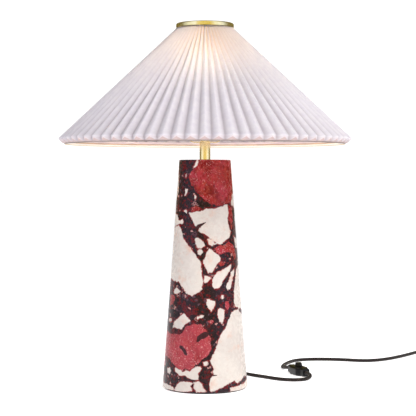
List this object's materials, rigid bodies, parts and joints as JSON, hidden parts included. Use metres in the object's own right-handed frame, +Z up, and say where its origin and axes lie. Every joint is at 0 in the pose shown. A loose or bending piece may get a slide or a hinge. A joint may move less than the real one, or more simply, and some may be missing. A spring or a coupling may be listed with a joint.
{
  "type": "table lamp",
  "caption": "Table lamp with a tapered marble column, brass neck and harp, pleated cone shade and a cord with an in-line dial switch.",
  "frame": {"origin": "on the table, under the column's axis, without the cord and what is on it", "axes": "+Z up along the column, -Y towards the front of the lamp, +X to the right where the cord runs"},
  "size_m": [0.7602, 0.6848, 0.5995],
  "materials": {
    "felt": "dense black felt",
    "marble": "polished red, cream and plum breccia",
    "steel": "zinc plated",
    "brass": "polished and lacquered",
    "liner_paper": "waxed board",
    "moulded_insulator": "moulded",
    "bulb_metal": "rolled",
    "bulb_glass": "frosted, lit",
    "shade_sheet": "pleated, matt, lets light through",
    "hem_tape": "taped wire",
    "black_plastic": "moulded, satin",
    "lead_sleeve": "smooth",
    "cord_jacket": "braided, dark brown"
  },
  "bodies": {
    "lamp": {"foot_pad": "felt", "marble_column": "marble", "threaded_pipe": "steel", "fender_washer": "steel", "lock_washer": "steel", "bottom_nut": "steel", "brass_neck": "brass", "harp_saddle": "brass", "top_nut": "brass", "harp": "brass", "socket_cap": "brass", "cap_screw": "steel", "socket_shell": "brass", "shell_liner": "liner_paper", "holder_body": "moulded_insulator", "terminal_screws": "brass", "screw_shell": "brass", "centre_contact": "brass", "cord_bushing": "black_plastic", "inner_lead": "lead_sleeve", "cord_to_switch": "cord_jacket", "switch_lower": "black_plastic", "switch_upper": "black_plastic", "switch_screws": "steel", "cord_to_coil": "cord_jacket", "cord_coil": "cord_jacket", "cord_to_plug": "cord_jacket", "plug_body": "black_plastic", "plug_blades": "brass"},
    "ferrule_left": {"ferrule_left": "brass"},
    "ferrule_right": {"ferrule_right": "brass"},
    "bulb": {"bulb_base": "bulb_metal", "bulb_glass": "bulb_glass"},
    "shade_frame": {"shade": "shade_sheet", "hem_wire": "hem_tape", "top_ring": "brass", "spider": "brass"},
    "finial": {"finial": "brass"},
    "dial": {"switch_dial": "black_plastic"}
  },
  "joints": [
    {"name": "shade_turn", "type": "hinge", "parent": "lamp", "child": "shade_frame", "pos_m": [0, 0, 0.582], "axis": [0, 0, 1], "continuous": true},
    {"name": "finial_turn", "type": "hinge", "parent": "lamp", "child": "finial", "pos_m": [0, 0, 0.585], "axis": [0, 0, 1], "continuous": true},
    {"name": "bulb_turn", "type": "hinge", "parent": "lamp", "child": "bulb", "pos_m": [0, 0, 0.446], "axis": [0, 0, 1], "continuous": true},
    {"name": "dial_turn", "type": "hinge", "parent": "lamp", "child": "dial", "pos_m": [0.16425, 0.133, 0.015], "axis": [0, 0, 1], "range_deg": [0, 270]},
    {"name": "ferrule_left_lift", "type": "slide", "parent": "lamp", "child": "ferrule_left", "axis": [0, 0, 1], "range_m": [0, 0.012]},
    {"name": "ferrule_right_lift", "type": "slide", "parent": "lamp", "child": "ferrule_right", "axis": [0, 0, 1], "range_m": [0, 0.012]}
  ]
}
